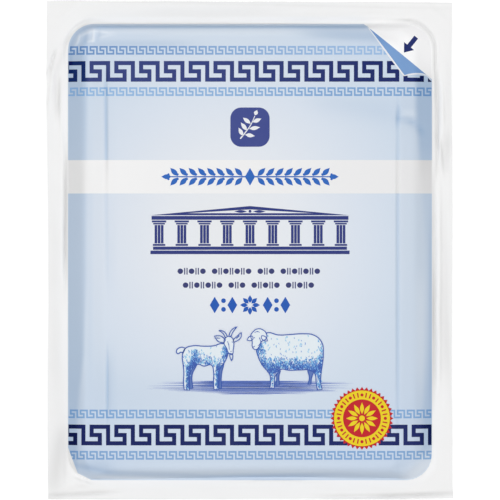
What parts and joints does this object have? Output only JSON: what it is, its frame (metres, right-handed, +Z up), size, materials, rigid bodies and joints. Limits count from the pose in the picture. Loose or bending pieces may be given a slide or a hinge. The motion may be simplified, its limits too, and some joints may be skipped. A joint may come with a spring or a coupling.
{
  "type": "vacuum pack of feta",
  "caption": "Shut vacuum pack of one flat feta block: sealed flat rim, drawn pocket under it, printed film pulled tight over the block.",
  "frame": {"origin": "on the ground under the middle of the pack, where the pocket's flat floor rests", "axes": "+Z up, out of the printed film; +Y to the head of the print, along the pack's longer side; +X to the print's right"},
  "size_m": [0.108, 0.1324, 0.0135],
  "materials": {
    "tray_web": "smooth white plastic film, drawn to a pocket",
    "printed_film": "white plastic film printed in pale blue, navy and mid blue, satin gloss"
  },
  "bodies": {
    "root": {"tray": "tray_web", "top_film": "printed_film"}
  },
  "joints": []
}
